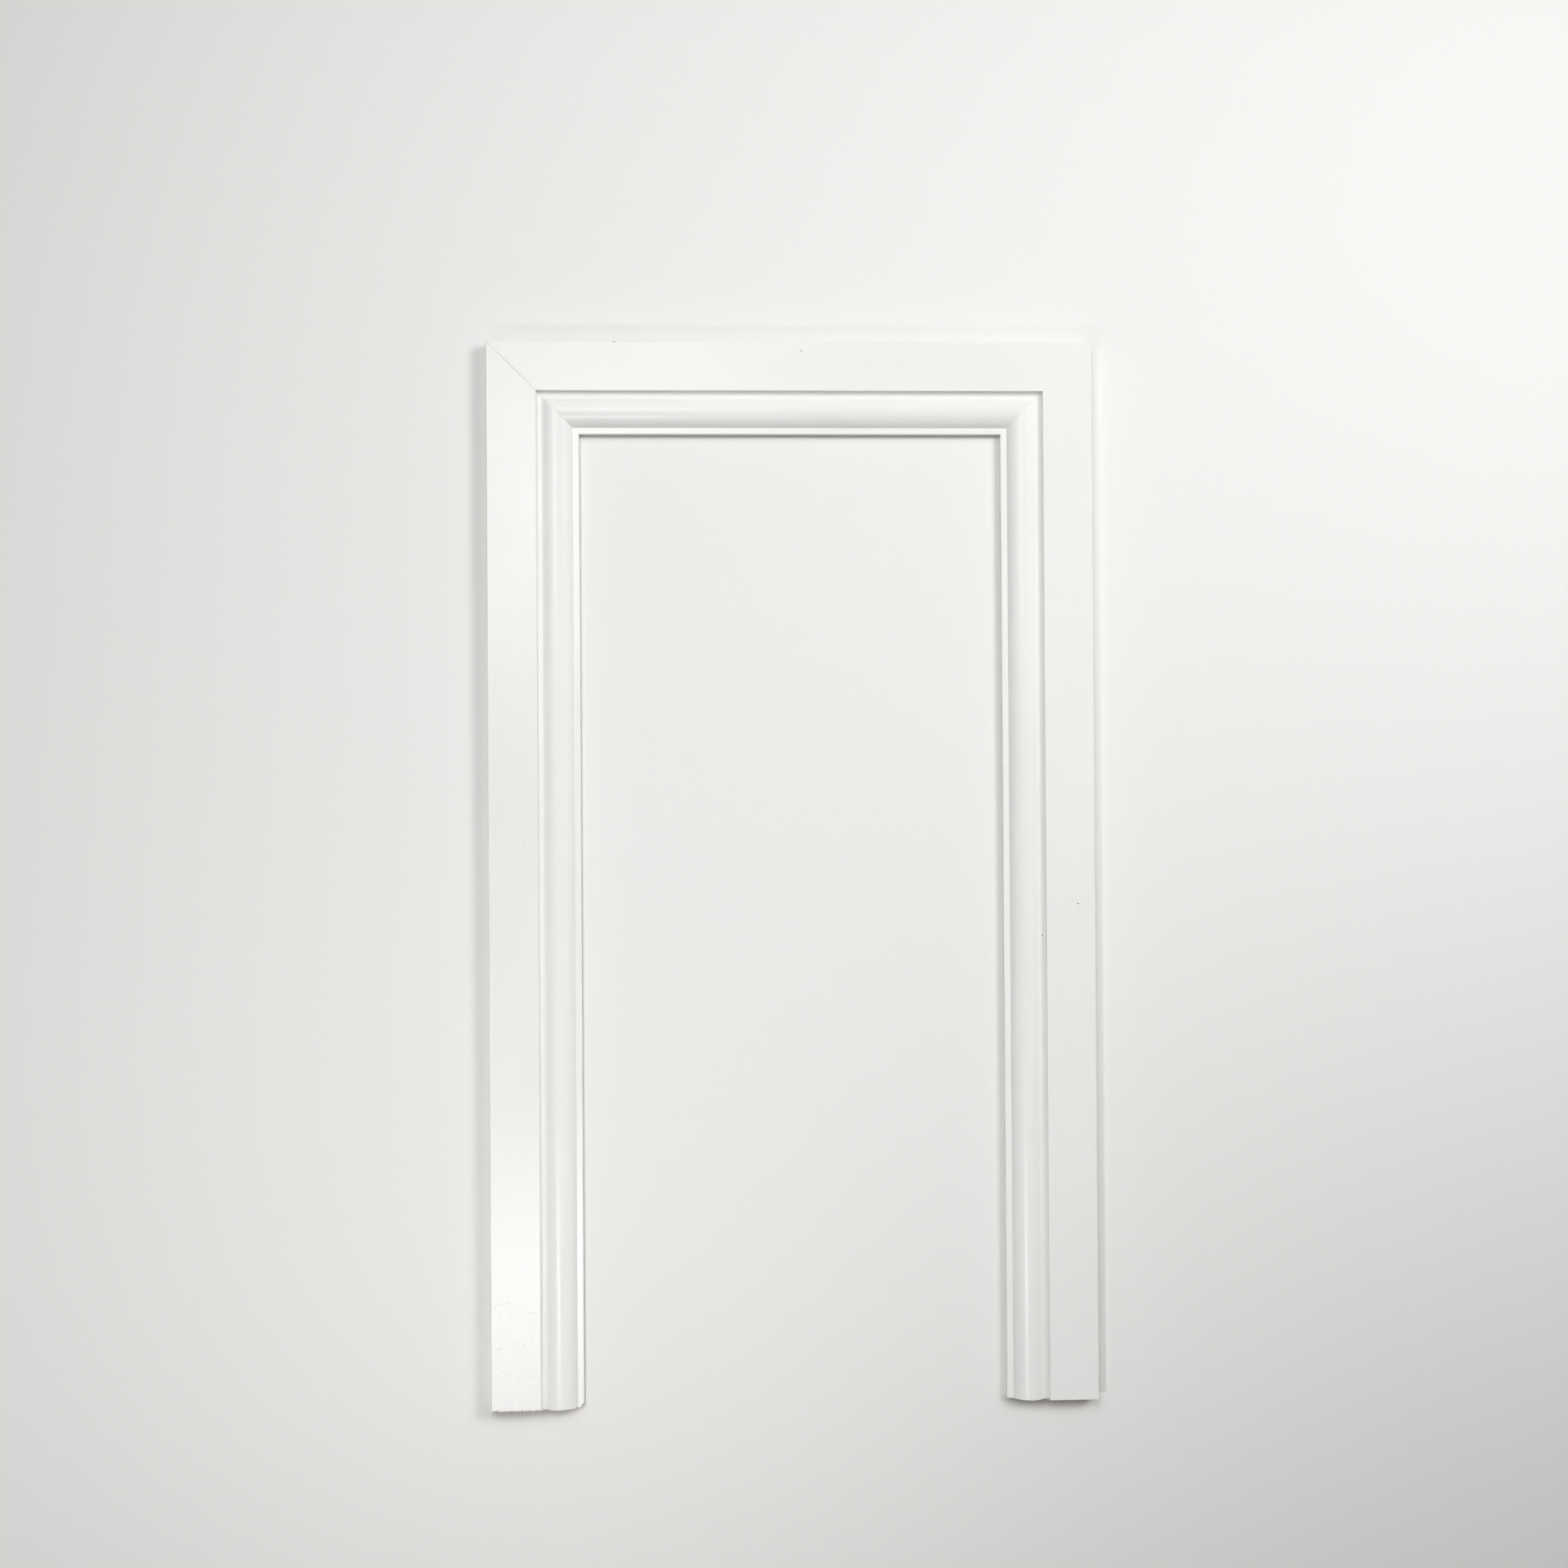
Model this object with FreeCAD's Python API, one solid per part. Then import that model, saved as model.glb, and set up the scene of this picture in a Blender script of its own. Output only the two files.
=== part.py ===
import FreeCAD, Part
import math
import os

os.makedirs("parts", exist_ok=True)

# Architrave: two upright legs and a head of one moulded section, mitred at the
# two upper corners. It lies on its back: back face on z = 0, moulded face up,
# head towards +Y, feet towards -Y, centred on x = 0 and y = 0. Millimetres.

# ---- driving dimensions -------------------------------------------------
FRAME_WIDTH = 465.0      # over the outer edges of the legs
FRAME_HEIGHT = 814.0     # foot of the legs to the top edge of the head
SECTION_WIDTH = 70.0     # outer edge to inner edge of the moulding
THICKNESS = 12.0         # back face to the flat board

# section, measured inwards from the outer edge (u) and up from the back (z)
BOARD = 38.0             # flat board along the outer edge
QUIRK = 1.0              # short upright fall under the board's arris
COVE = 3.0               # radius of the quarter-round cove below it
HOLLOW_R = 3.0           # hollow that sweeps from the valley up to the torus
CREST_U = 51.6           # line of the torus's crest
CREST_Z = 11.53          # height of the crest, just below the board
STRIP = 4.9              # flat sight strip along the inner edge
STRIP_Z = 5.5            # height of the sight strip, where the torus runs out
OUTER_ARRIS_R = 0.8      # eased outer arris
INNER_ARRIS_R = 0.6      # eased arris of the sight strip
BACK_ARRIS = 0.3         # small chamfer on the two back edges

# ---- section ------------------------------------------------------------
valley_u = BOARD + COVE
valley_z = THICKNESS - QUIRK - COVE

run = CREST_U - valley_u
rise = CREST_Z - valley_z
turn = 2.0 * math.atan(rise / run)          # slope where hollow meets torus
torus_outer_r = run / math.sin(turn) - HOLLOW_R

foot_u = SECTION_WIDTH - STRIP
drop = CREST_Z - STRIP_Z
torus_inner_r = ((foot_u - CREST_U) ** 2 + drop ** 2) / (2.0 * drop)
foot_a = math.asin((foot_u - CREST_U) / torus_inner_r)


def on_cove(a):
    return (valley_u - COVE * math.sin(a), valley_z + COVE * (1.0 - math.cos(a)))


def on_hollow(a):
    return (valley_u + HOLLOW_R * math.sin(a), valley_z + HOLLOW_R * (1.0 - math.cos(a)))


def on_torus_outer(a):
    return (CREST_U - torus_outer_r * math.sin(a), CREST_Z - torus_outer_r * (1.0 - math.cos(a)))


def on_torus_inner(a):
    return (CREST_U + torus_inner_r * math.sin(a), CREST_Z - torus_inner_r * (1.0 - math.cos(a)))


def quarter(cu, cz, r, a0, a1):
    return [(cu + r * math.cos(a), cz + r * math.sin(a)) for a in (a0, 0.5 * (a0 + a1), a1)]


h = 0.5 * math.pi
outer = quarter(OUTER_ARRIS_R, THICKNESS - OUTER_ARRIS_R, OUTER_ARRIS_R, 2 * h, h)
inner = quarter(SECTION_WIDTH - INNER_ARRIS_R, STRIP_Z - INNER_ARRIS_R, INNER_ARRIS_R, h, 0.0)

# each entry is a straight run (two points) or an arc (three points)
SECTION = [
    [(BACK_ARRIS, 0.0), (0.0, BACK_ARRIS)],
    [(0.0, BACK_ARRIS), outer[0]],
    outer,
    [outer[2], (BOARD, THICKNESS)],
    [(BOARD, THICKNESS), (BOARD, THICKNESS - QUIRK)],
    [(BOARD, THICKNESS - QUIRK), on_cove(0.5 * h), (valley_u, valley_z)],
    [(valley_u, valley_z), on_hollow(0.5 * turn), on_hollow(turn)],
    [on_hollow(turn), on_torus_outer(0.5 * turn), (CREST_U, CREST_Z)],
    [(CREST_U, CREST_Z), on_torus_inner(0.5 * foot_a), (foot_u, STRIP_Z)],
    [(foot_u, STRIP_Z), inner[0]],
    inner,
    [inner[2], (SECTION_WIDTH, BACK_ARRIS)],
    [(SECTION_WIDTH, BACK_ARRIS), (SECTION_WIDTH - BACK_ARRIS, 0.0)],
    [(SECTION_WIDTH - BACK_ARRIS, 0.0), (BACK_ARRIS, 0.0)],
]


def section_face(place):
    edges = []
    for run_pts in SECTION:
        v = [place(u, z) for u, z in run_pts]
        if len(v) == 2:
            edges.append(Part.makeLine(v[0], v[1]))
        else:
            edges.append(Part.Arc(v[0], v[1], v[2]).toShape())
    return Part.Face(Part.Wire(edges))


def outline_block(points):
    v = [FreeCAD.Vector(x, y, -1.0) for x, y in points]
    face = Part.Face(Part.makePolygon(v + [v[0]]))
    return face.extrude(FreeCAD.Vector(0, 0, THICKNESS + 2.0))


HW = 0.5 * FRAME_WIDTH
HH = 0.5 * FRAME_HEIGHT
IW = HW - SECTION_WIDTH            # half the clear width between the legs
IH = HH - SECTION_WIDTH            # underside of the head


def leg(side):
    bar = section_face(lambda u, z: FreeCAD.Vector(side * (HW - u), -HH, z)).extrude(
        FreeCAD.Vector(0, FRAME_HEIGHT, 0))
    mitred = outline_block([(side * HW, -HH), (side * IW, -HH), (side * IW, IH), (side * HW, HH)])
    return bar.common(mitred)


def head():
    bar = section_face(lambda u, z: FreeCAD.Vector(-HW, HH - u, z)).extrude(
        FreeCAD.Vector(FRAME_WIDTH, 0, 0))
    mitred = outline_block([(-HW, HH), (HW, HH), (IW, IH), (-IW, IH)])
    return bar.common(mitred)


for name, shape in (("left_leg", leg(-1.0)), ("head", head()), ("right_leg", leg(1.0))):
    solid = shape.Solids[0]
    solid.exportStep("parts/" + name + ".step")
    print(name, len(shape.Solids), solid.isValid(), round(solid.Volume, 1), solid.BoundBox)
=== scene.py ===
import math

import bpy
import numpy as np
from mathutils import Euler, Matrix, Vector
from mathutils.geometry import delaunay_2d_cdt


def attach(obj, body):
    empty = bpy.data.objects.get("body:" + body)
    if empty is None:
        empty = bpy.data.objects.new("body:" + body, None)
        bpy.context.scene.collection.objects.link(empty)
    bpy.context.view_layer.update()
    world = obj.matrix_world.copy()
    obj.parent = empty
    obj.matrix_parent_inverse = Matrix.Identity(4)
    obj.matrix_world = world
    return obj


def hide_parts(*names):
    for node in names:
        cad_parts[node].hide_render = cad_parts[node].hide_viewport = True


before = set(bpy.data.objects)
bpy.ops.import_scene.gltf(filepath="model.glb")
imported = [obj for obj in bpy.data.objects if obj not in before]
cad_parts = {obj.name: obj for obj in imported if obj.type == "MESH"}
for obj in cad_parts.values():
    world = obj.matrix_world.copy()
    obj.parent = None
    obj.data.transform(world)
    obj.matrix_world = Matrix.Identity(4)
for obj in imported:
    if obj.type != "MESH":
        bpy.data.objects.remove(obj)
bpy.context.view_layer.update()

MM = 0.001

# ---------------------------------------------------------------- dimensions
# Millimetres, the same section and outline as the solids.
FRAME_W = 465.0
FRAME_H = 814.0
WIDTH = 70.0
THICK = 12.0
BOARD = 38.0
QUIRK = 1.0
COVE = 3.0
HOLLOW_R = 3.0
CREST_U = 51.6
CREST_Z = 11.53
STRIP = 4.9
STRIP_Z = 5.5
OUTER_R = 0.8
INNER_R = 0.6
BACK_C = 0.3
HW, HH = 0.5 * FRAME_W, 0.5 * FRAME_H

FACE, OUTER_EDGE, INNER_EDGE, BACK = 0, 1, 2, 3


# ------------------------------------------------------------------- section
def arc(cu, cz, r, a0, a1, n):
    a = np.linspace(a0, a1, n)
    return np.c_[cu + r * np.cos(a), cz + r * np.sin(a)]


def run(p, q, n):
    t = np.linspace(0.0, 1.0, n)[:, None]
    return np.array(p) * (1 - t) + np.array(q) * t


def section_loop():
    """Closed loop of the section: up the outer edge, over the moulded face, down the
    inner edge and home along the back. Returns points (u, z), normals and regions."""
    h = 0.5 * math.pi
    pts, reg = [], []

    def add(p, r):
        pts.append(p)
        reg.append(np.full(len(p), r))

    add(run((0.0, BACK_C), (0.0, THICK - OUTER_R), 15)[:-1], OUTER_EDGE)
    add(arc(OUTER_R, THICK - OUTER_R, OUTER_R, 2 * h, h, 7)[:-1], FACE)

    # board, then the arris over the cove, softened by the paint
    valley_u = BOARD + COVE
    valley_z = THICK - QUIRK - COVE
    ar = 0.28
    add(run((OUTER_R, THICK), (BOARD - ar, THICK), 150)[:-1], FACE)
    add(arc(BOARD - ar, THICK - ar, ar, h, 0.0, 7)[:-1], FACE)
    add(run((BOARD, THICK - ar), (BOARD, THICK - QUIRK), 2)[:-1], FACE)
    add(arc(valley_u, THICK - QUIRK, COVE, 2 * h, 3 * h, 20)[:-1], FACE)

    # hollow and torus
    rise, over = CREST_Z - valley_z, CREST_U - valley_u
    turn = 2 * math.atan(rise / over)
    outer_r = over / math.sin(turn) - HOLLOW_R
    a = np.linspace(0.0, turn, 13)
    add(np.c_[valley_u + HOLLOW_R * np.sin(a), valley_z + HOLLOW_R * (1 - np.cos(a))][:-1], FACE)
    a = np.linspace(turn, 0.0, 19)
    add(np.c_[CREST_U - outer_r * np.sin(a), CREST_Z - outer_r * (1 - np.cos(a))][:-1], FACE)
    foot_u = WIDTH - STRIP
    fall = CREST_Z - STRIP_Z
    inner_r = ((foot_u - CREST_U) ** 2 + fall ** 2) / (2 * fall)
    foot_a = math.asin((foot_u - CREST_U) / inner_r)
    # the torus runs out on the sight strip, with paint drawn into the corner
    cr = 0.35
    tl = cr * math.tan(0.5 * foot_a)
    a = np.linspace(0.0, foot_a - tl / inner_r, 44)
    add(np.c_[CREST_U + inner_r * np.sin(a), CREST_Z - inner_r * (1 - np.cos(a))][:-1], FACE)
    add(arc(foot_u + tl, STRIP_Z + cr, cr, 3 * h - foot_a, 3 * h, 6)[:-1], FACE)
    add(run((foot_u + tl, STRIP_Z), (WIDTH - INNER_R, STRIP_Z), 12)[:-1], FACE)
    add(arc(WIDTH - INNER_R, STRIP_Z - INNER_R, INNER_R, h, 0.0, 6)[:-1], FACE)
    add(run((WIDTH, STRIP_Z - INNER_R), (WIDTH, BACK_C), 12)[:-1], INNER_EDGE)
    add(run((WIDTH, BACK_C), (WIDTH - BACK_C, 0.0), 3)[:-1], INNER_EDGE)
    add(run((WIDTH - BACK_C, 0.0), (WIDTH - 6.0, 0.0), 9)[:-1], BACK)
    add(run((WIDTH - 6.0, 0.0), (6.0, 0.0), 24)[:-1], BACK)
    add(run((6.0, 0.0), (BACK_C, 0.0), 9)[:-1], BACK)
    add(run((BACK_C, 0.0), (0.0, BACK_C), 3)[:-1], OUTER_EDGE)

    p, r = np.vstack(pts), np.concatenate(reg)
    tan = np.roll(p, -1, 0) - np.roll(p, 1, 0)
    tan /= np.linalg.norm(tan, axis=1)[:, None]
    nrm = np.c_[-tan[:, 1], tan[:, 0]]
    return p, nrm, r


LOOP, NORMAL, REGION = section_loop()
N = len(LOOP)
TOP = REGION == FACE


def top_height(u):
    order = np.argsort(LOOP[TOP, 0])
    return np.interp(u, LOOP[TOP, 0][order], LOOP[TOP, 1][order])


# --------------------------------------------------------------- smooth noise
def noise1(x, seed, step):
    """Smooth seeded noise along a line, about -1 to 1, one knot every `step`."""
    rng = np.random.default_rng(seed)
    knots = rng.uniform(-1, 1, 4096)
    f = np.asarray(x, float) / step + 1000.0
    i = np.floor(f).astype(int)
    t = f - i
    t = t * t * (3 - 2 * t)
    return knots[i % 4096] * (1 - t) + knots[(i + 1) % 4096] * t


def torn_edge(u, seed, notches):
    """How far the paint has broken back from a sawn end, along the width of the face."""
    rng = np.random.default_rng(seed)
    b = np.full(len(u), 0.05)
    for c, w, d in notches:
        lean = rng.uniform(-0.55, 0.55)
        t = (u - c) / (0.5 * w)
        t = t + lean * (1 - np.minimum(np.abs(t), 1.0))
        b = np.maximum(b, 1.2 * d * np.clip(1 - np.abs(t) ** 1.7, 0, 1) ** 0.7)
    rag = min(1.0, 0.08 + len(notches))
    return b + rag * (0.16 * noise1(u, seed + 1, 1.0) + 0.16 * noise1(u, seed + 2, 0.5))


# ---------------------------------------------------------------------- piece
def mitre_rings(r):
    """Distances back from a mitre at which rings ease the arris over."""
    return np.array([0.0, 0.08 * r, 0.25 * r, 0.5 * r, 0.8 * r, 1.1 * r, 3 * r + 0.4, 3.0])


def ease(e, r):
    d = np.clip(r - e, 0, r)
    return r - np.sqrt(np.maximum(r * r - d * d, 0.0))


class Piece:
    """A length of the moulding as rings of the section, with both ends closed."""

    def __init__(self, name, length, start, end, place, seed):
        self.name, self.length, self.place, self.seed = name, length, place, seed
        self.build(start, end)

    def end_rings(self, spec):
        kind = spec[0]
        if kind == "mitre":
            return mitre_rings(spec[1])
        return np.array([0.0, 0.0, 0.0, 0.0, 0.18, 0.45, 0.9, 1.5, 2.2, 3.0, 3.8, 4.8, 6.0, 8.0])

    def build(self, start, end):
        u, z = LOOP[:, 0], LOOP[:, 1]
        length = self.length(u)
        a, b = self.end_rings(start), self.end_rings(end)
        mid_n = int(round(np.max(length) / 8.0))
        rings, tags = [], []
        for k, d in enumerate(a):
            rings.append(np.full(N, d)); tags.append((0, k, d))
        for k in range(1, mid_n):
            f = k / mid_n
            rings.append(a[-1] + f * (length - a[-1] - b[-1])); tags.append((1, k, 0.0))
        for k, d in reversed(list(enumerate(b))):
            rings.append(length - d); tags.append((2, k, d))
        m = len(rings)
        U = np.tile(u, (m, 1)); Z = np.tile(z, (m, 1)); S = np.array(rings)
        BARE_AND_SHADE = np.tile(np.where(REGION == BACK, 1.0, 0.0), (m, 1))
        # overspray creeps a few millimetres round onto the back
        edge = np.minimum(u, WIDTH - u)
        BARE_AND_SHADE = np.where(REGION == BACK, np.clip((edge - 0.6) / 4.5, 0, 1), BARE_AND_SHADE)

        # the stock is not dead flat: a few hundredths of a millimetre of wander
        Sn = S + 137.0 * self.seed
        wander = 0.018 * noise1(Sn, self.seed + 11, 55.0) + 0.010 * noise1(Sn + 9.0 * U, self.seed + 12, 23.0)
        lift = np.where(TOP, 1.0, 0.0) * wander
        Z = Z + lift * NORMAL[:, 1]
        U = U + lift * NORMAL[:, 0]
        edge_wander = 0.03 * noise1(Sn, self.seed + 13, 40.0)
        U = U + np.where(REGION == OUTER_EDGE, edge_wander, 0.0)

        caps = []
        for side, spec in ((0, start), (2, end)):
            rows = [j for j, t in enumerate(tags) if t[0] == side]
            if side == 2:
                rows = rows[::-1]
            sign = 1.0 if side == 0 else -1.0
            if spec[0] == "mitre":
                _, r, gap = spec
                fill = np.interp(u, (25.0, 38.0, 62.0, 66.0), (1.0, 0.55, 0.45, 0.15))
                for j in rows:
                    o = ease(tags[j][2], r * fill)
                    o = np.where(REGION == BACK, 0.0, o)
                    U[j] -= NORMAL[:, 0] * o
                    Z[j] -= NORMAL[:, 1] * o
                    S[j] += sign * gap * fill * 1.41421
            else:
                self.sawn(rows, sign, spec, U, Z, S, BARE_AND_SHADE, tags)
            caps.append((rows[0], spec, sign))

        V = [np.stack([U.ravel(), S.ravel(), Z.ravel()], 1)]
        bare = [BARE_AND_SHADE.ravel()]
        idx = np.arange(m * N).reshape(m, N)
        nxt = np.roll(idx, -1, 1)
        quads = np.stack([idx[:-1], nxt[:-1], nxt[1:], idx[1:]], -1).reshape(-1, 4)
        tris = []
        count = m * N
        for row, spec, sign in caps:
            extra, faces = self.cap(spec)
            ids = list(idx[row])
            if len(extra):
                cu, cz = extra[:, 0].copy(), extra[:, 1].copy()
                s_at = np.interp(cu, u[TOP], S[row][TOP])
                if spec[0] == "sawn":
                    cu, cs, cz = self.sawn_face(cu, cz, sign, spec, row, S, U, Z)
                else:
                    base = 0.0 if sign > 0 else self.length(cu)
                    cs = base + sign * spec[2] * 1.41421 + 0.0 * cu
                V.append(np.stack([cu, cs, cz], 1))
                bare.append(np.ones(len(cu)))
                ids += list(range(count, count + len(cu)))
                count += len(cu)
            ids = np.array(ids)
            tris.append(ids[faces])
        self.V = np.vstack(V)
        self.bare = np.concatenate(bare)
        for spec in (start, end):
            if spec[0] == "sawn" and spec[4]:
                self.break_corner(*spec[4], seed=spec[3] + 20)
        self.quads, self.tris = quads, np.vstack(tris)
        self.flow = self.V.copy()
        self.flow[:, 1] += 1000.0 * self.seed
        self.finish()

    def sawn(self, rows, sign, spec, U, Z, S, BARE_AND_SHADE, tags):
        """A foot: the saw breaks the paint back along the face's edge."""
        _, notches, cut, seed, chip = spec
        u = LOOP[:, 0]
        b = np.where(TOP, np.maximum(torn_edge(u, seed, notches), 0.02), 0.0)
        # the breaks run steeply down the end, deeper than they are long
        deep = np.where(TOP, 0.08 + 2.7 * b * (1.0 + 0.2 * noise1(u, seed + 5, 0.7)), 0.0)
        deep = np.minimum(deep, 2.4)
        # the tear dies away at the two arrises
        arr = np.clip(np.minimum(u + 0.25, WIDTH - u + 0.25) / 0.8, 0.0, 1.0)
        deep *= arr
        b *= 0.4 + 0.6 * arr
        out = np.interp(u, (0.0, WIDTH), cut)
        rough = 0.03 * noise1(u, seed + 6, 0.5)
        # painted shade: the deeper breaks get a darker colour than bare board, standing in for the shade that falls in
        # them
        painted_break_shade = 1.0 + 0.75 * np.clip((b - 0.12) / 0.4, 0.0, 1.0)
        for j in rows:
            k, d = tags[j][1], tags[j][2]
            if k == 0:
                s, low = out + rough * TOP, deep
                BARE_AND_SHADE[j] = np.where(REGION == BACK, BARE_AND_SHADE[j], np.where(TOP, painted_break_shade, 0.35))
            elif k == 1:
                s = out + 0.5 * b + 0.05 * noise1(u, seed + 7, 0.35) * TOP
                low = deep * (0.52 + 0.16 * noise1(u, seed + 8, 0.4))
                BARE_AND_SHADE[j] = np.where(TOP, painted_break_shade, BARE_AND_SHADE[j])
                s = np.where(TOP, s, out + 0.10)
            elif k == 2:
                s, low = np.where(TOP, out + b, out + 0.2), 0.06 * deep
                BARE_AND_SHADE[j] = np.where(TOP, 0.25 + 0.5 * (painted_break_shade - 1.0), BARE_AND_SHADE[j])
            elif k == 3:
                s, low = np.where(TOP, out + b + 0.20, out + 0.4), 0.0
            else:
                keep = max(0.0, 1.0 - d / 6.0)
                s, low = out * keep + np.where(TOP, b * keep + 0.20, 0.4 * keep) + d, 0.0
            low = np.where(TOP, low, 0.0)
            U[j] -= NORMAL[:, 0] * low
            Z[j] -= NORMAL[:, 1] * low
            S[j] = s if sign > 0 else self.length(u) - s

    def sawn_face(self, cu, cz, sign, spec, row, S, U, Z):
        """Points inside a sawn end, pressed down under the torn edge and scored by the saw."""
        _, notches, cut, seed, chip = spec
        top = top_height(cu)
        order = np.argsort(LOOP[TOP, 0])
        worn = np.interp(cu, U[row][TOP][order], Z[row][TOP][order])
        depth = np.maximum(top - cz, 0.0)
        lost = np.maximum(top - worn, 0.0)
        reach = np.minimum(5.0, 0.8 * top)
        nz = np.where(depth < reach, top - lost - depth * (1 - lost / reach), cz)
        score = 0.035 * np.sin(2 * math.pi * (cu * 0.55 + cz * 0.9) / 1.3 + 1.5 * noise1(cu, seed + 9, 6.0))
        fuzz = 0.03 * noise1(cu * 3.1 + cz * 17.0, seed + 10, 0.6)
        s = np.interp(cu, (0.0, WIDTH), cut) + (score + fuzz) * (1.0 if notches else 0.5) + 0.02
        if sign < 0:
            s = self.length(cu) - s
        return cu, s, nz

    def break_corner(self, p0, p1, p2, corner, seed):
        """Snaps a corner off: points beyond the plane through p0, p1, p2 are laid onto it, roughly."""
        p0, p1, p2, corner = (np.array(p, float) for p in (p0, p1, p2, corner))
        n = np.cross(p1 - p0, p2 - p0)
        n /= np.linalg.norm(n)
        if (corner - p0) @ n < 0:
            n = -n
        d = (self.V - p0) @ n
        key = self.V @ np.array([1.9, 2.7, 3.3])
        d = d + 0.16 * noise1(key, seed, 0.9) + 0.07 * noise1(key, seed + 1, 0.35)
        hit = d > 0
        self.V[hit] -= d[hit, None] * n
        self.V[:, 2] = np.maximum(self.V[:, 2], 0.0)
        # painted shade: the snapped face is marked two, so the material paints it near-black brown as shade in the
        # broken corner
        self.bare[d > 0.04] = 2.0

    def cap(self, spec):
        """Triangles over an end: the loop's points first, then points inside it."""
        inner = []
        if spec[0] == "sawn":
            rng = np.random.default_rng(self.seed + 77)
            step = 0.62
            rowk = 0
            zz = 0.5
            while zz < THICK:
                off = 0.5 * step * (rowk % 2)
                for uu in np.arange(0.55 + off, WIDTH - 0.5, step):
                    top = min(top_height(np.array([uu - 0.35, uu, uu + 0.35])))
                    if zz < top - 0.42:
                        inner.append((uu + rng.uniform(-.08, .08), zz + rng.uniform(-.08, .08)))
                zz += step * 0.87
                rowk += 1
        coords = [Vector((float(p[0]), float(p[1]))) for p in LOOP] + [Vector(p) for p in inner]
        verts, _, faces, orig, _, _ = delaunay_2d_cdt(coords, [], [list(range(N))], 1, 1e-6)
        back = {i: o[0] for i, o in enumerate(orig) if o}
        tri = [[back[i] for i in f] for f in faces if all(i in back for i in f)]
        return np.array(inner).reshape(-1, 2), np.array(tri)

    def finish(self):
        co = self.place(self.V[:, 0], self.V[:, 1], self.V[:, 2]) * MM
        me = bpy.data.meshes.new(self.name + "_visual")
        faces = [tuple(int(i) for i in q) for q in self.quads] + [tuple(int(i) for i in t) for t in self.tris]
        me.from_pydata([tuple(map(float, c)) for c in co], [], faces)
        me.validate()
        # "bare" holds bare board up to one, and painted shade above it
        at = me.attributes.new("bare", "FLOAT", "POINT")
        at.data.foreach_set("value", self.bare.astype(np.float32))
        at = me.attributes.new("run", "FLOAT_VECTOR", "POINT")
        at.data.foreach_set("vector", (self.flow * MM).astype(np.float32).ravel())
        import bmesh
        bm = bmesh.new()
        bm.from_mesh(me)
        bmesh.ops.recalc_face_normals(bm, faces=bm.faces)
        bm.to_mesh(me)
        bm.free()
        me.polygons.foreach_set("use_smooth", np.ones(len(me.polygons), bool))
        me.set_sharp_from_angle(angle=math.radians(38))
        self.obj = bpy.data.objects.new(self.name + "_visual", me)
        bpy.context.scene.collection.objects.link(self.obj)


# Breaks along the edge of the left foot: centre across the face, width and depth.
NOTCHES = [(2.4, 3.2, 0.72), (4.6, 1.5, 1.05), (6.3, 1.6, 0.42), (9.9, 2.2, 0.36), (12.0, 1.5, 0.78), (13.7, 1.0, 0.50),
           (15.7, 3.2, 0.82), (18.2, 1.4, 0.38), (21.0, 1.1, 0.62), (23.4, 2.2, 0.95), (26.9, 1.8, 0.74), (29.3, 2.6, 0.84),
           (33.0, 1.4, 0.74), (34.4, 1.8, 1.20), (36.6, 2.2, 0.78), (50.5, 1.4, 0.40), (52.9, 1.6, 0.62), (55.0, 1.2, 0.45),
           (58.0, 1.8, 0.50), (60.6, 1.4, 0.25), (64.2, 1.4, 0.50)]
# The corner of the sight strip is broken off at the left foot: points (u, along, z).
CHIP = ((66.8, -1.0, STRIP_Z), (WIDTH, 2.2, STRIP_Z), (WIDTH, 0.4, 0.4), (WIDTH, -1.0, STRIP_Z))

# Left leg: torn foot. Right leg: clean foot. Left mitre stands open by a hair, right one is shut.
left = Piece("left_leg", lambda u: FRAME_H - u, ("sawn", NOTCHES, (-0.86, -1.06), 40, CHIP), ("mitre", 0.18, 0.052),
             lambda u, s, z: np.stack([-HW + u, -HH + s, z], 1), 1)
right = Piece("right_leg", lambda u: FRAME_H - u, ("sawn", [], (-0.05, -0.28), 60, None), ("mitre", 0.05, 0.002),
              lambda u, s, z: np.stack([HW - u, -HH + s, z], 1), 2)
head = Piece("head", lambda u: FRAME_W - 2 * u, ("mitre", 0.18, 0.052), ("mitre", 0.05, 0.002),
             lambda u, s, z: np.stack([-HW + u + s, HH - u, z], 1), 3)


# ------------------------------------------------------------------- material
# Small marks on the face, in millimetres of the object's own frame. Each group is
# drawn out `long` times along a line turned by `turn` degrees, and lists centre x, y,
# half-width and strength.
SPECKS = [
    (2.0, 3, [(-134.45, 406.20, 0.44, 0.80), (218.87, -26.06, 0.44, 0.95)]),
    (2.0, 84, [(8.40, 399.66, 0.40, 0.80), (191.84, -50.70, 0.42, 0.85)]),
    (1.0, 0, [(-204.65, 23.51, 0.52, 0.35)]),
]
SCUFFS = [
    (26.0, 8, [(-221.50, -326.05, 0.27, 0.55)]),
    (19.0, 0, [(-200.60, -333.45, 0.28, 0.65)]),
    (8.0, 24, [(-225.60, -360.00, 0.38, 0.75)]),
    (2.3, 72, [(-228.90, -328.30, 0.38, 0.80), (-219.80, -329.60, 0.42, 0.50),
               (-215.50, -327.40, 0.36, 0.45), (-216.40, -333.60, 0.36, 0.55),
               (-202.10, -342.50, 0.40, 0.45)]),
    (1.3, 20, [(-214.40, -358.45, 0.52, 0.65), (-211.20, -356.80, 0.50, 0.60),
               (-207.50, -357.00, 0.56, 0.65), (-198.00, -305.60, 0.46, 0.55),
               (-196.50, -301.90, 0.46, 0.50)]),
]


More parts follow.
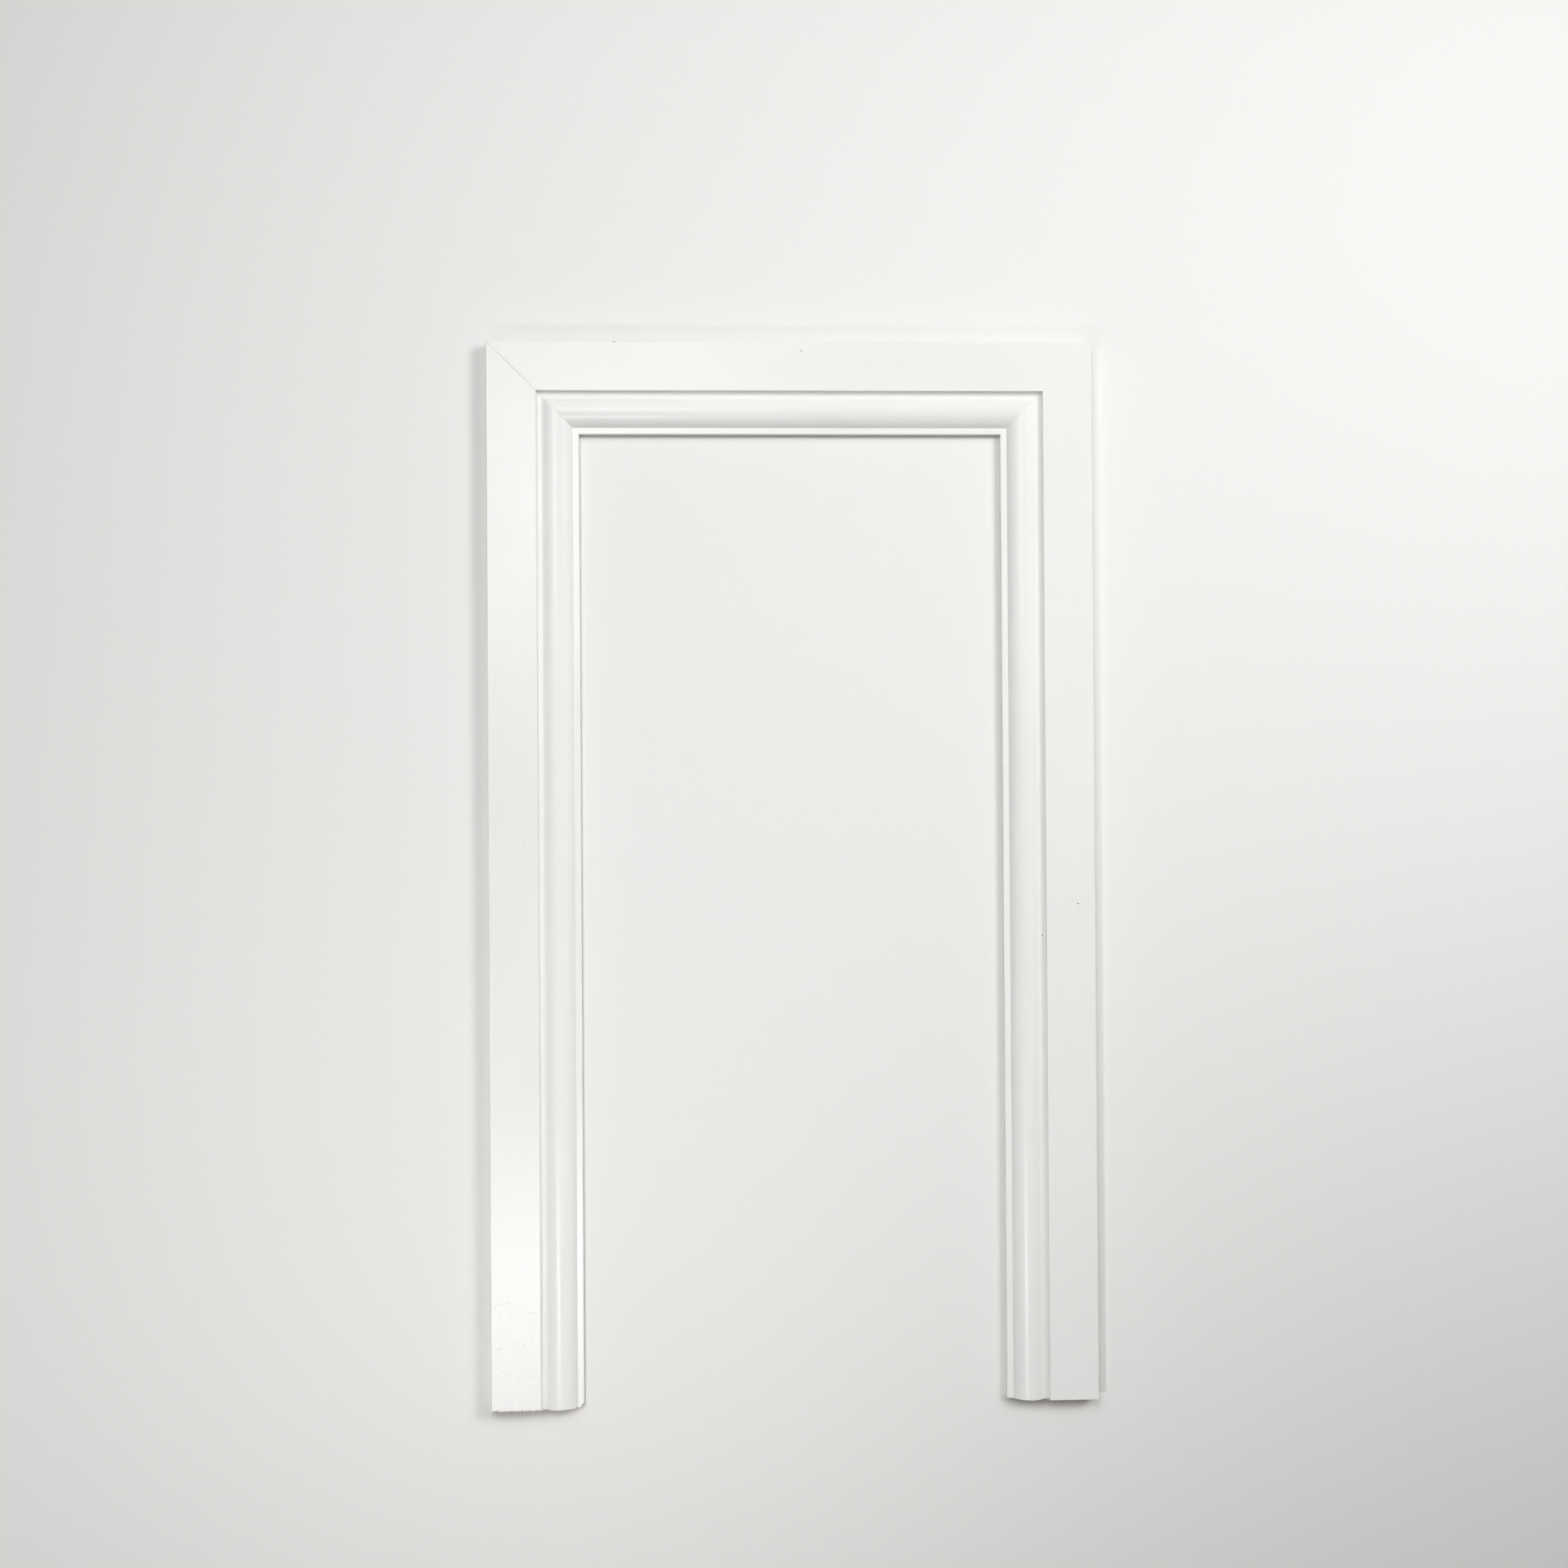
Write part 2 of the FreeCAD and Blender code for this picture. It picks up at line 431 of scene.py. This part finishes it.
class Nodes:
    """Short forms for the node types the materials use."""

    def __init__(self, name):
        self.mat = bpy.data.materials.new(name)
        self.mat.use_nodes = True
        self.nd, self.lk = self.mat.node_tree.nodes, self.mat.node_tree.links
        self.bsdf = self.nd["Principled BSDF"]

    def put(self, socket, v):
        if hasattr(v, "is_output"):
            self.lk.new(v, socket)
        else:
            socket.default_value = v

    def attribute(self, name, out):
        n = self.nd.new("ShaderNodeAttribute")
        n.attribute_name = name
        return n.outputs[out]

    def object_coords(self):
        return self.nd.new("ShaderNodeTexCoord").outputs["Object"]

    def scaled(self, vec, scale):
        n = self.nd.new("ShaderNodeVectorMath")
        n.operation = "MULTIPLY"
        self.put(n.inputs[0], vec)
        n.inputs[1].default_value = scale
        return n.outputs[0]

    def noise(self, vec, scale, detail=2.0, rough=0.5, out="Fac"):
        n = self.nd.new("ShaderNodeTexNoise")
        n.inputs["Scale"].default_value = scale
        n.inputs["Detail"].default_value = detail
        n.inputs["Roughness"].default_value = rough
        self.put(n.inputs["Vector"], vec)
        return n.outputs[out]

    def math(self, op, a, b=0.0, c=0.0, clamp=False):
        n = self.nd.new("ShaderNodeMath")
        n.operation, n.use_clamp = op, clamp
        for i, v in enumerate((a, b, c)):
            self.put(n.inputs[i], v)
        return n.outputs[0]

    def ramp(self, fac, stops):
        n = self.nd.new("ShaderNodeValToRGB")
        el = n.color_ramp.elements
        while len(el) < len(stops):
            el.new(0.5)
        for e, (at, c) in zip(el, stops):
            e.position, e.color = at, (*c, 1.0)
        self.put(n.inputs["Fac"], fac)
        return n.outputs["Color"]

    def mix(self, fac, a, b, kind="RGBA", blend="MIX"):
        n = self.nd.new("ShaderNodeMix")
        n.data_type = kind
        if kind == "RGBA":
            n.blend_type = blend
        socks = [i for i in n.inputs if i.enabled]
        self.put(socks[0], fac)
        self.put(socks[1], a)
        self.put(socks[2], b)
        return [o for o in n.outputs if o.enabled][0]

    def bump(self, height, distance, normal=None):
        n = self.nd.new("ShaderNodeBump")
        n.inputs["Distance"].default_value = distance
        self.put(n.inputs["Height"], height)
        if normal is not None:
            self.put(n.inputs["Normal"], normal)
        return n.outputs["Normal"]

    def marks(self, vec, table):
        """One where a mark lies, fading out at its rim."""
        total = None
        for long, turn, spots in table:
            m = self.nd.new("ShaderNodeMapping")
            m.vector_type = "TEXTURE"
            m.inputs["Rotation"].default_value = (0.0, 0.0, math.radians(turn))
            m.inputs["Scale"].default_value = (long, 1.0, 1000.0)
            self.put(m.inputs["Vector"], vec)
            c, s = math.cos(math.radians(turn)), math.sin(math.radians(turn))
            for x, y, half, strength in spots:
                d = self.nd.new("ShaderNodeVectorMath")
                d.operation = "DISTANCE"
                self.put(d.inputs[0], m.outputs[0])
                d.inputs[1].default_value = ((c * x + s * y) / long * MM, (c * y - s * x) * MM, 0.0)
                f = self.math("MULTIPLY_ADD", d.outputs["Value"], -1.6 * strength / (half * MM), 1.9 * strength)
                f = self.math("MINIMUM", f, strength)
                total = self.math("MAXIMUM", f, 0.0 if total is None else total)
        return total


def paint_material():
    n = Nodes("painted_fibreboard")
    obj = n.object_coords()
    run_vec = n.attribute("run", "Vector")           # across, along and up the moulding
    drawn = n.scaled(run_vec, (1.0, 0.55, 1.0))      # texture drawn out along its length

    # paint: near-white, faintly cloudy
    cloud = n.noise(drawn, 9.0, 3.0, 0.6)
    paint = n.ramp(cloud, [(0.28, (0.800, 0.793, 0.780)), (0.72, (0.824, 0.817, 0.804))])

    # small dark specks, and the greyer scuffs and scratches, with ragged rims
    ragged = n.nd.new("ShaderNodeVectorMath")
    ragged.operation = "MULTIPLY_ADD"
    n.put(ragged.inputs[0], n.noise(obj, 1500.0, 1.0, 0.6, "Color"))
    ragged.inputs[1].default_value = (0.0007, 0.0007, 0.0)
    centred = n.nd.new("ShaderNodeVectorMath")
    centred.operation = "SUBTRACT"
    n.put(centred.inputs[0], obj)
    centred.inputs[1].default_value = (0.00035, 0.00035, 0.0)
    n.put(ragged.inputs[2], centred.outputs[0])
    speck = n.marks(ragged.outputs[0], SPECKS)
    scuff = n.marks(ragged.outputs[0], SCUFFS)
    paint = n.mix(n.math("MULTIPLY", scuff, 0.60), paint, (0.43, 0.415, 0.39, 1))
    paint = n.mix(speck, paint, (0.085, 0.072, 0.060, 1))

    # bare fibreboard where the paint stops: torn edges, sawn ends, the back.
    # The board is denser and darker in a thin skin at either face.
    fibre = n.noise(n.scaled(run_vec, (1.0, 0.35, 2.2)), 1300.0, 3.0, 0.7)
    fray = n.math("MULTIPLY_ADD", fibre, 0.8, -0.40)
    bare = n.math("MULTIPLY_ADD", n.math("ADD", n.attribute("bare", "Fac"), fray), 4.0, -1.5, clamp=True)
    up = n.nd.new("ShaderNodeSeparateXYZ")
    n.put(up.inputs[0], run_vec)
    depth = n.math("MULTIPLY", up.outputs["Z"], 1.0 / (THICK * MM))
    layer = n.ramp(depth, [(0.0, (0.265, 0.168, 0.088)), (0.05, (0.300, 0.195, 0.105)), (0.22, (0.430, 0.300, 0.178)),
                           (0.78, (0.430, 0.300, 0.178)), (0.95, (0.300, 0.195, 0.105)), (1.0, (0.265, 0.168, 0.088))])
    grain = n.ramp(fibre, [(0.22, (0.62, 0.58, 0.52)), (0.5, (1.0, 1.0, 1.0)), (0.80, (1.38, 1.44, 1.52))])
    board = n.mix(1.0, layer, grain, blend="MULTIPLY")
    # painted shade: where "bare" runs past 1.1, in the deeper breaks and the snapped corner, the board is darkened
    # towards near-black brown
    painted_shade = n.math("SUBTRACT", n.attribute("bare", "Fac"), 1.1, clamp=True)
    board = n.mix(painted_shade, board, (0.150, 0.112, 0.078, 1))
    n.put(n.bsdf.inputs["Base Color"], n.mix(bare, paint, board))

    # satin gloss, a little uneven; duller on the scuffs and dry on bare board
    gloss = n.math("MULTIPLY_ADD", n.noise(drawn, 60.0, 2.0, 0.6), 0.08, 0.130)
    gloss = n.math("MULTIPLY_ADD", scuff, 0.25, gloss)
    n.put(n.bsdf.inputs["Roughness"], n.mix(bare, gloss, 0.88, "FLOAT"))
    n.bsdf.inputs["IOR"].default_value = 1.5

    # relief: slow sway of the film, orange peel, then fibres on the bare board
    relief = n.bump(n.noise(drawn, 85.0, 1.0), 8.0e-5)
    relief = n.bump(n.noise(run_vec, 440.0, 2.5, 0.55), 1.05e-4, relief)
    relief = n.bump(n.math("MULTIPLY", fibre, bare), 2.2e-4, relief)
    n.put(n.bsdf.inputs["Normal"], relief)
    return n.mat


PAINT = paint_material()
for piece, node in ((left, "left_leg"), (right, "right_leg"), (head, "head")):
    piece.obj.data.materials.append(PAINT)
    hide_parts(node)
    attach(piece.obj, "root")


# ---------------------------------------------------------------------- stage
def floor_material():
    mat = bpy.data.materials.new("pale_floor")
    mat.use_nodes = True
    b = mat.node_tree.nodes["Principled BSDF"]
    b.inputs["Base Color"].default_value = (0.784, 0.778, 0.766, 1)
    b.inputs["Roughness"].default_value = 0.9
    b.inputs["Specular IOR Level"].default_value = 0.2
    # well away from the object the floor runs out into the pale room, to the eye only
    nodes, links = mat.node_tree.nodes, mat.node_tree.links
    place = nodes.new("ShaderNodeNewGeometry")
    away = nodes.new("ShaderNodeVectorMath")
    away.operation = "LENGTH"
    links.new(place.outputs["Position"], away.inputs[0])
    fade = nodes.new("ShaderNodeMapRange")
    fade.interpolation_type = "SMOOTHSTEP"
    fade.inputs["From Min"].default_value, fade.inputs["From Max"].default_value = 1.0, 1.75
    links.new(away.outputs["Value"], fade.inputs["Value"])
    eye = nodes.new("ShaderNodeLightPath")
    share = nodes.new("ShaderNodeMath")
    share.operation = "MULTIPLY"
    links.new(fade.outputs["Result"], share.inputs[0])
    links.new(eye.outputs["Is Camera Ray"], share.inputs[1])
    room = nodes.new("ShaderNodeEmission")
    room.inputs["Color"].default_value = (1.0, 1.0, 1.0, 1)
    room.inputs["Strength"].default_value = 0.75
    both = nodes.new("ShaderNodeMixShader")
    links.new(share.outputs[0], both.inputs[0])
    links.new(b.outputs[0], both.inputs[1])
    links.new(room.outputs[0], both.inputs[2])
    links.new(both.outputs[0], nodes["Material Output"].inputs["Surface"])
    mat.cycles.emission_sampling = "NONE"
    return mat


fm = bpy.data.meshes.new("floor")
g = 4.0
fm.from_pydata([(-g, -g, -0.0001), (g, -g, -0.0001), (g, g, -0.0001), (-g, g, -0.0001)], [], [(0, 1, 2, 3)])
floor = bpy.data.objects.new("floor", fm)
bpy.context.scene.collection.objects.link(floor)
fm.materials.append(floor_material())

world = bpy.data.worlds.new("studio")
bpy.context.scene.world = world
world.use_nodes = True
# the room is pale to look at, and adds very little light of its own
wn, wl = world.node_tree.nodes, world.node_tree.links
seen = wn.new("ShaderNodeLightPath")
mirrored = wn.new("ShaderNodeMath")
mirrored.operation = "MULTIPLY_ADD"
wl.new(seen.outputs["Is Glossy Ray"], mirrored.inputs[0])
mirrored.inputs[1].default_value, mirrored.inputs[2].default_value = 0.10, 0.0
level = wn.new("ShaderNodeMath")
level.operation = "MULTIPLY_ADD"
wl.new(seen.outputs["Is Camera Ray"], level.inputs[0])
level.inputs[1].default_value = 0.75
wl.new(mirrored.outputs[0], level.inputs[2])
wn["Background"].inputs["Color"].default_value = (1.0, 1.0, 1.0, 1)
wl.new(level.outputs[0], wn["Background"].inputs["Strength"])


def soft_light(name, at, aim, size, power, gleam=False):
    """A panel that lights the scene; only those that gleam are mirrored in the paint."""
    data = bpy.data.lights.new(name, "AREA")
    data.shape = "RECTANGLE"
    data.size, data.size_y = size
    data.energy = power
    ob = bpy.data.objects.new(name, data)
    ob.location = at
    ob.rotation_euler = (Vector(aim) - Vector(at)).to_track_quat("-Z", "Y").to_euler()
    ob.visible_camera = False
    ob.visible_glossy = gleam
    bpy.context.scene.collection.objects.link(ob)
    return ob


MID = (0.0, 0.0, 0.0)
soft_light("key_right", (3.121, 2.268, 2.506), MID, (0.86, 0.86), 22.40)
soft_light("sky_back", (0.0, 1.725, 2.988), MID, (1.38, 0.92), 21.11)
soft_light("sky_back_left", (-0.684, 2.553, 2.217), MID, (1.38, 0.92), 14.64)
soft_light("sky_left", (-1.477, 1.760, 1.928), MID, (1.2, 0.8), 0.84)
soft_light("near_right", (0.986, 0.569, 1.139), MID, (0.8, 0.46), 9.63)
soft_light("near_right_far", (1.840, 1.058, 1.495), MID, (1.03, 0.63), 6.33)
soft_light("near_back", (-0.350, 0.606, 1.212), MID, (0.7, 0.4), 4.16)
soft_light("near_left", (-1.050, -0.606, 0.700), MID, (0.7, 0.4), 2.32)
soft_light("overhead", (-0.194, 0.336, 1.449), MID, (0.6, 0.6), 0.79)
soft_light("lamp_front_left", (-0.235, -0.473, 0.660), (0.0, -0.1, 0.0), (0.041, 0.041), 1.29)
soft_light("ceiling_front", (-0.60, -1.21, 2.83), (-0.60, -1.21, 0.0), (0.6, 0.54), 3.90, True)
soft_light("ceiling_front_mid", (-0.45, -1.21, 2.83), (-0.45, -1.21, 0.0), (0.52, 0.52), 3.55, True)
soft_light("ceiling_back", (-0.47, 0.80, 2.83), (-0.47, 0.80, 0.0), (0.7, 0.7), 3.10, True)

# --------------------------------------------------------------------- camera
cam_data = bpy.data.cameras.new("camera")
cam_data.sensor_width = 36.0
cam_data.lens = 36.0 * 1893.0 / 1932.0
cam_data.clip_start = 0.05
cam = bpy.data.objects.new("camera", cam_data)
cam.location = (-0.04588, 0.06019, 1.18732)
cam.rotation_euler = Euler((math.radians(0.3671), math.radians(-1.8935), math.radians(-0.3734)), "XYZ")
bpy.context.scene.collection.objects.link(cam)
bpy.context.scene.camera = cam
bpy.context.scene.view_settings.view_transform = "Standard"
bpy.context.scene.view_settings.gamma = 0.85
